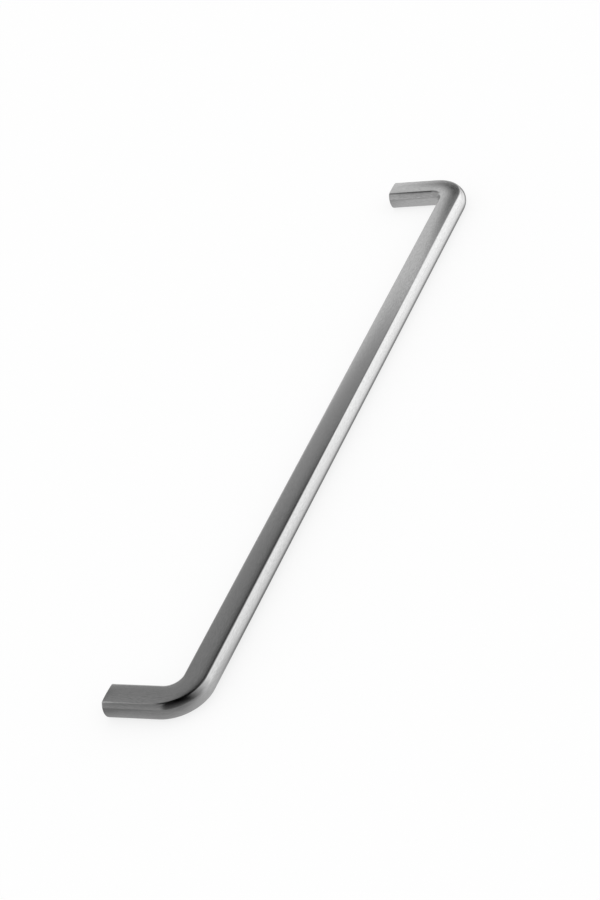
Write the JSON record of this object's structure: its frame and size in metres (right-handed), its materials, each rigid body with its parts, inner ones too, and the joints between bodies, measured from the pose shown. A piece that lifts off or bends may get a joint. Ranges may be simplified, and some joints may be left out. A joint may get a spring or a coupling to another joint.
{
  "type": "cabinet handle",
  "caption": "Slim bow handle for a drawer or cabinet front: a solid satin-brushed metal bar with crowned faces, turned at both ends into short legs.",
  "frame": {"origin": "midway between the two screw holes, on the plane of the cabinet front where the leg ends seat", "axes": "+X along the grip; +Y into the cabinet front, so the handle stands out towards -Y; +Z square to both, up the front when the handle is fitted level. Lying loose, the handle rests on its -Z side."},
  "size_m": [0.332, 0.037, 0.008],
  "materials": {
    "satin_metal": "fine brushed satin, the grain running along the bar and round the bends"
  },
  "bodies": {
    "root": {"handle": "satin_metal"}
  },
  "joints": []
}
